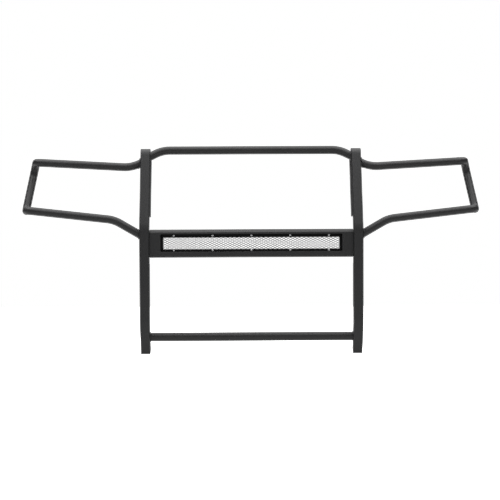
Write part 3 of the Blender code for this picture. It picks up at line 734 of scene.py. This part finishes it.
# Hexagon flange bolts and button-head screws: one of each size, then a copy at each CAD bolt
boltSizes = {"strap": {"across": 0.013, "head": 0.0053, "shank": 0.004, "length": 0.017, "flange": 0.0084},
             "housing_end": {"across": 0.013, "head": 0.0053, "shank": 0.004, "length": 0.013,
                             "flange": 0.0084},
             "frame_bracket": {"across": 0.018, "head": 0.0075, "shank": 0.006, "length": 0.020,
                               "flange": 0.0118}}
boltShape = {"rounder": 1.02, "rounderSides": 48, "round": 0.16, "roundSteps": 3, "flangeThick": 0.0016,
             "flangeSides": 40, "flangeRound": 0.0009, "shankSides": 24, "tip": 0.0008, "sink": 0.0002}
screwSize = {"head": 0.0047, "height": 0.0028, "around": 32, "rings": 16, "socket": 0.0011, "depth": 0.0010,
             "shank": 0.002, "shankSides": 16, "length": 0.012}


def cylinder(name, sides, radius, depth, z):
    deselectAll()
    bpy.ops.mesh.primitive_cylinder_add(vertices=sides, radius=radius, depth=depth, location=(0, 0, z))
    return startPiece(name)


def boltModel(name, size):
    # head's seat at Z = 0, the shank towards +Z
    corner = size["across"] / 2 / cos(pi / 6)
    thick, sink = boltShape["flangeThick"], boltShape["sink"]
    bolt = cylinder(name, 6, corner, size["head"], -size["head"] / 2)
    bpy.ops.object.mode_set(mode="OBJECT")
    rounder = cylinder("rounder", boltShape["rounderSides"], corner * boltShape["rounder"],
                       size["head"] * 2, 0)
    pick("FACE", lambda face: face.normal.z < -0.9)
    bpy.ops.mesh.bevel(offset=corner * boltShape["round"], segments=boltShape["roundSteps"])
    bpy.ops.object.mode_set(mode="OBJECT")
    combined(bolt, rounder, "INTERSECT")
    flange = cylinder(name + "Flange", boltShape["flangeSides"], size["flange"], thick, -thick / 2)
    pick("EDGE", lambda edge: middle(edge).z < near - thick)
    bpy.ops.mesh.bevel(offset=boltShape["flangeRound"], segments=3)
    closePiece()
    shank = cylinder(name + "Shank", boltShape["shankSides"], size["shank"], size["length"],
                     size["length"] / 2 - sink)
    pick("EDGE", lambda edge: middle(edge).z > size["length"] - sink - near)
    bpy.ops.mesh.bevel(offset=boltShape["tip"], segments=1)
    closePiece()
    return joined(bolt, flange, shank)


def screwModel(name, size):
    deselectAll()
    bpy.ops.mesh.primitive_uv_sphere_add(segments=size["around"], ring_count=size["rings"],
                                         radius=size["head"])
    bpy.context.object.scale.z = size["height"] / size["head"]
    screw = startPiece(name)
    bpy.ops.mesh.select_all(action="SELECT")
    bpy.ops.mesh.bisect(plane_co=(0, 0, 0), plane_no=zAxis, use_fill=True, clear_outer=True)
    closePiece()
    key = cylinder("key", 6, size["socket"], 2 * size["depth"], -size["height"])
    bpy.ops.object.mode_set(mode="OBJECT")
    combined(screw, key, "DIFFERENCE")
    shank = cylinder(name + "Shank", size["shankSides"], size["shank"], size["length"],
                     size["length"] / 2 - boltShape["sink"])
    closePiece()
    return joined(screw, shank)


def seatOf(node, direction, headHeight):
    # where a CAD bolt sits: its place, with local Z along the shank
    points = [vert.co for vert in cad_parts[node].data.vertices]
    low = Vector(min(point[axis] for point in points) for axis in range(3))
    high = Vector(max(point[axis] for point in points) for axis in range(3))
    seat = (low + high) / 2
    seat += direction * (min(point.dot(direction) for point in points) + headHeight - seat.dot(direction))
    across = xAxis if abs(direction.x) < 0.5 else zAxis
    turn = Matrix((across, direction.cross(across), direction)).transposed().to_4x4()
    return Matrix.Translation(seat) @ turn


leans = {"upper_strap": sideView["upperLean"], "lower_strap": sideView["middleLean"],
         "bottom_strap": sideView["lowerLean"], "frame_bracket": sideView["middleLean"]}
for kind, size in boltSizes.items():
    model = boltModel("boltModel", size)
    for side, outward in (("left", -xAxis), ("right", xAxis)):
        holders = ["upper_strap", "lower_strap", "bottom_strap"] if kind == "strap" else [kind]
        for holder in holders:
            for number in (1, 2):
                node = f"{side}_{holder}_bolt_{number}"
                direction = -backFrom(leans[holder]) if holder in leans else outward
                bolt = copied(model.data, camel(node) + "Hex", seatOf(node, direction, size["head"]))
                settle(bolt, zinc, node)
    bpy.data.objects.remove(model)

model = screwModel("screwModel", screwSize)
for number in range(1, 11):
    node = f"mesh_screw_{number:02}"
    screw = copied(model.data, camel(node) + "Button", seatOf(node, yAxis, screwSize["height"]))
    settle(screw, stainless, node)
bpy.data.objects.remove(model)
print("bolts and screws made")


# Studio: pale floor, white surroundings, soft light from above
studio = {"floorDrop": 0.02, "floorSize": 12, "floorShade": 0.30, "floorGlow": 0.50, "floorWhite": 0.70,
          "floorRoughness": 0.9, "floorSpecular": 0.1, "surround": 0.08,
          "lights": [("overhead", (0, 0.2, 4.2), (0, 0.2, 0), (9, 7), 580),
                     ("front", (0, -4.6, 3.0), (0, 0, 0.5), (8, 2.6), 30)]}

deselectAll()
bpy.ops.mesh.primitive_plane_add(size=studio["floorSize"], location=(0, 0, -studio["floorDrop"]))
floor = bpy.context.object
floor.name = "paleFloor"
paleFloor = Finish("paleFloor", None, 0.0, studio["floorSpecular"])
paleFloor.put("Base Color", (*[studio["floorShade"]] * 3, 1))
paleFloor.put("Roughness", studio["floorRoughness"])
paleFloor.put("Emission Color", paleFloor.cameraRay() * studio["floorWhite"] + studio["floorGlow"])
paleFloor.put("Emission Strength", 1)
floor.data.materials.append(paleFloor.material)

# The surroundings look white, and light the object more weakly than they look
scene = bpy.context.scene
scene.world = bpy.data.worlds.new("studio")
scene.world.use_nodes = True
surroundings = Nodes(scene.world.node_tree)
background = surroundings.tree.nodes["Background"]
surroundings.feed(background.inputs["Strength"], surroundings.cameraRay().atLeast(studio["surround"]))
surroundings.feed(background.inputs["Color"], (1, 1, 1, 1))

for name, place, target, (wide, deep), power in studio["lights"]:
    aim = (Vector(target) - Vector(place)).to_track_quat("-Z", "Y").to_euler()
    bpy.ops.object.light_add(type="AREA", location=place, rotation=aim)
    light = bpy.context.object
    light.name = name
    light.data.shape = "RECTANGLE"
    light.data.size, light.data.size_y = wide, deep
    light.data.energy = power

# Tone: dark greys as they are, middle greys darker, white stays white
tone = [(0.15, 0.15), (0.25, 0.18), (0.5, 0.31), (0.75, 0.59)]

scene.view_settings.view_transform = "Standard"
scene.view_settings.use_curve_mapping = True
curve = scene.view_settings.curve_mapping.curves[3]
for level, shown in tone:
    curve.points.new(level, shown)
for point in curve.points:
    point.handle_type = "VECTOR"
scene.view_settings.curve_mapping.update()

# Camera: level, straight in front, a little turned and tilted
camera = {"distance": 6.5, "height": 0.4545, "shiftX": -0.0065, "turn": radians(0.5),
          "tilt": radians(-0.28), "lens": 108.07, "sensor": 36, "farLimit": 200}

bpy.ops.object.camera_add()
eye = bpy.context.object
eye.name = "frontView"
eye.data.lens = camera["lens"]
eye.data.sensor_width = camera["sensor"]
eye.data.clip_end = camera["farLimit"]
pivot = Matrix.Translation((0, sideView["frontY"], camera["height"]))
turned = Matrix.Rotation(-camera["turn"], 4, "Z") @ Matrix.Rotation(-camera["tilt"], 4, "Y")
eye.matrix_world = (pivot @ turned @ Matrix.Translation((camera["shiftX"], -camera["distance"], 0))
                    @ Matrix.Rotation(pi / 2, 4, "X"))
scene.camera = eye
print("studio made")
